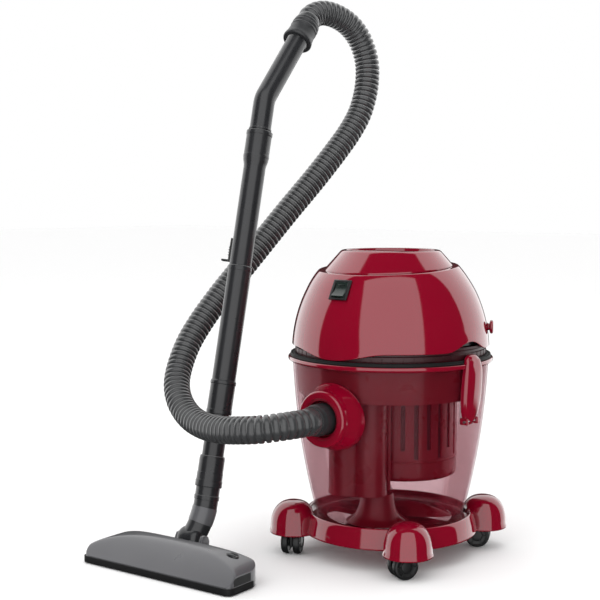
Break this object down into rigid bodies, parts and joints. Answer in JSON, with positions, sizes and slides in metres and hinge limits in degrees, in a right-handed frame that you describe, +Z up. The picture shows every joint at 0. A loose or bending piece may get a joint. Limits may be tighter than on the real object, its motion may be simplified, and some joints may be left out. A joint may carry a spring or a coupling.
{
  "type": "shop vacuum",
  "caption": "Canister shop vacuum on a caster dolly with a clear tank, domed motor head, side latches, hose, telescoping wand and tilting floor nozzle.",
  "frame": {"origin": "middle of the footprint of the machine, wand and nozzle together, on the floor", "axes": "+Z up; the machine's inlet, switch and the nozzle's front face -Y; the wand stands on the -X side"},
  "size_m": [0.4856, 0.5138, 0.8651],
  "materials": {
    "crimson_plastic": "glossy",
    "clear_plastic": "clear, tinted pink",
    "dark_red_plastic": "satin",
    "charcoal_plastic": "satin",
    "slate_plastic": "glossy",
    "black_plastic": "satin",
    "black_rubber": "matte",
    "hose_plastic": "satin",
    "steel": "brushed",
    "motor_iron": "varnished",
    "foam": "open foam",
    "float_plastic": "matte",
    "bristle": "bristle"
  },
  "bodies": {
    "machine": {"tank_shell": "clear_plastic", "tank_seal": "black_rubber", "inlet_collar": "crimson_plastic", "inlet_duct": "dark_red_plastic", "dolly_frame": "crimson_plastic", "latch_pin_right": "steel", "latch_pin_left": "steel", "hose_machine_cuff": "black_rubber", "hose": "hose_plastic", "hose_handle_cuff": "black_rubber", "handle_tube": "charcoal_plastic", "upper_wand": "charcoal_plastic", "middle_wand": "charcoal_plastic"},
    "head": {"head_shell": "crimson_plastic", "top_cap": "crimson_plastic", "motor_plate": "charcoal_plastic", "fan_housing": "slate_plastic", "motor_stator": "motor_iron", "motor_bearing_bracket": "black_plastic", "float_cage": "black_plastic", "foam_filter": "foam", "filter_basket": "dark_red_plastic", "cord_peg_right": "crimson_plastic", "cord_peg_left": "crimson_plastic", "cord_gland": "black_rubber", "switch_frame": "black_plastic"},
    "fan_rotor": {"fan": "steel", "motor_armature": "steel"},
    "float_body": {"float": "float_plastic"},
    "switch": {"rocker_switch": "charcoal_plastic"},
    "latch_r": {"latch_right": "crimson_plastic"},
    "latch_l": {"latch_left": "crimson_plastic"},
    "wand_lower": {"lower_wand": "charcoal_plastic", "neck_collar": "charcoal_plastic", "nozzle_neck": "charcoal_plastic"},
    "clip": {"wand_clip": "black_plastic"},
    "nozzle": {"nozzle_body": "slate_plastic", "nozzle_sole": "charcoal_plastic", "nozzle_bumper": "black_rubber", "neck_pin": "steel"},
    "pedal": {"nozzle_pedal": "charcoal_plastic"},
    "brush": {"nozzle_brush": "bristle"},
    "caster_front_right": {"caster_front_right_fork": "black_plastic"},
    "caster_front_right_wheels": {"caster_front_right_axle": "steel", "caster_front_right_wheel_a": "black_plastic", "caster_front_right_wheel_b": "black_plastic"},
    "caster_front_left": {"caster_front_left_fork": "black_plastic"},
    "caster_front_left_wheels": {"caster_front_left_axle": "steel", "caster_front_left_wheel_a": "black_plastic", "caster_front_left_wheel_b": "black_plastic"},
    "caster_rear_right": {"caster_rear_right_fork": "black_plastic"},
    "caster_rear_right_wheels": {"caster_rear_right_axle": "steel", "caster_rear_right_wheel_a": "black_plastic", "caster_rear_right_wheel_b": "black_plastic"},
    "caster_rear_left": {"caster_rear_left_fork": "black_plastic"},
    "caster_rear_left_wheels": {"caster_rear_left_axle": "steel", "caster_rear_left_wheel_a": "black_plastic", "caster_rear_left_wheel_b": "black_plastic"}
  },
  "joints": [
    {"name": "caster_front_right_swivel", "type": "hinge", "parent": "machine", "child": "caster_front_right", "pos_m": [0.18494, -0.01143, 0.06], "axis": [0, 0, 1], "continuous": true},
    {"name": "caster_front_right_roll", "type": "hinge", "parent": "caster_front_right", "child": "caster_front_right_wheels", "pos_m": [0.18094, -0.01836, 0.0195], "axis": [-0.866, 0.5, 0], "continuous": true},
    {"name": "caster_front_left_swivel", "type": "hinge", "parent": "machine", "child": "caster_front_left", "pos_m": [-0.02719, -0.01143, 0.06], "axis": [0, 0, 1], "continuous": true},
    {"name": "caster_front_left_roll", "type": "hinge", "parent": "caster_front_left", "child": "caster_front_left_wheels", "pos_m": [-0.02381, -0.01868, 0.0195], "axis": [-0.9063, -0.4226, 0], "continuous": true},
    {"name": "caster_rear_right_swivel", "type": "hinge", "parent": "machine", "child": "caster_rear_right", "pos_m": [0.18494, 0.2007, 0.06], "axis": [0, 0, 1], "continuous": true},
    {"name": "caster_rear_right_roll", "type": "hinge", "parent": "caster_rear_right", "child": "caster_rear_right_wheels", "pos_m": [0.17769, 0.19732, 0.0195], "axis": [-0.4226, 0.9063, 0], "continuous": true},
    {"name": "caster_rear_left_swivel", "type": "hinge", "parent": "machine", "child": "caster_rear_left", "pos_m": [-0.02719, 0.2007, 0.06], "axis": [0, 0, 1], "continuous": true},
    {"name": "caster_rear_left_roll", "type": "hinge", "parent": "caster_rear_left", "child": "caster_rear_left_wheels", "pos_m": [-0.02993, 0.19318, 0.0195], "axis": [-0.9397, 0.342, 0], "continuous": true},
    {"name": "head_lift", "type": "slide", "parent": "machine", "child": "head", "axis": [0, 0, 1], "range_m": [0, 0.2]},
    {"name": "fan_spin", "type": "hinge", "parent": "head", "child": "fan_rotor", "pos_m": [0.07888, 0.09463, 0.38], "axis": [0, 0, 1], "continuous": true},
    {"name": "float_rise", "type": "slide", "parent": "head", "child": "float_body", "axis": [0, 0, 1], "range_m": [0, 0.045]},
    {"name": "switch_rock", "type": "hinge", "parent": "head", "child": "switch", "pos_m": [0.07888, -0.0324, 0.41277], "axis": [1, 0, 0], "range_deg": [0, 14]},
    {"name": "latch_r_open", "type": "hinge", "parent": "machine", "child": "latch_r", "pos_m": [0.23051, 0.08403, 0.221], "axis": [0.0698, 0.9976, 0], "range_deg": [0, 60]},
    {"name": "latch_l_open", "type": "hinge", "parent": "machine", "child": "latch_l", "pos_m": [-0.07275, 0.08403, 0.221], "axis": [0.0698, -0.9976, 0], "range_deg": [0, 60]},
    {"name": "wand_telescope", "type": "slide", "parent": "machine", "child": "wand_lower", "axis": [-0.0106, 0.2332, 0.9724], "range_m": [0, 0.06]},
    {"name": "clip_release", "type": "slide", "parent": "machine", "child": "clip", "axis": [-0.0106, 0.2332, 0.9724], "range_m": [0, 0.006], "stiffness_N_per_m": 300},
    {"name": "nozzle_tilt", "type": "hinge", "parent": "wand_lower", "child": "nozzle", "pos_m": [-0.1006, -0.16241, 0.04], "axis": [0.999, 0.0454, 0], "range_deg": [-5, 45]},
    {"name": "pedal_press", "type": "slide", "parent": "nozzle", "child": "pedal", "axis": [0, 0, -1], "range_m": [0, 0.002]},
    {"name": "brush_lift", "type": "slide", "parent": "nozzle", "child": "brush", "axis": [0, 0, 1], "range_m": [0, 0.004]}
  ],
  "couplings": [
    {"joint": "brush_lift", "follows": "pedal_press", "ratio": 2}
  ]
}
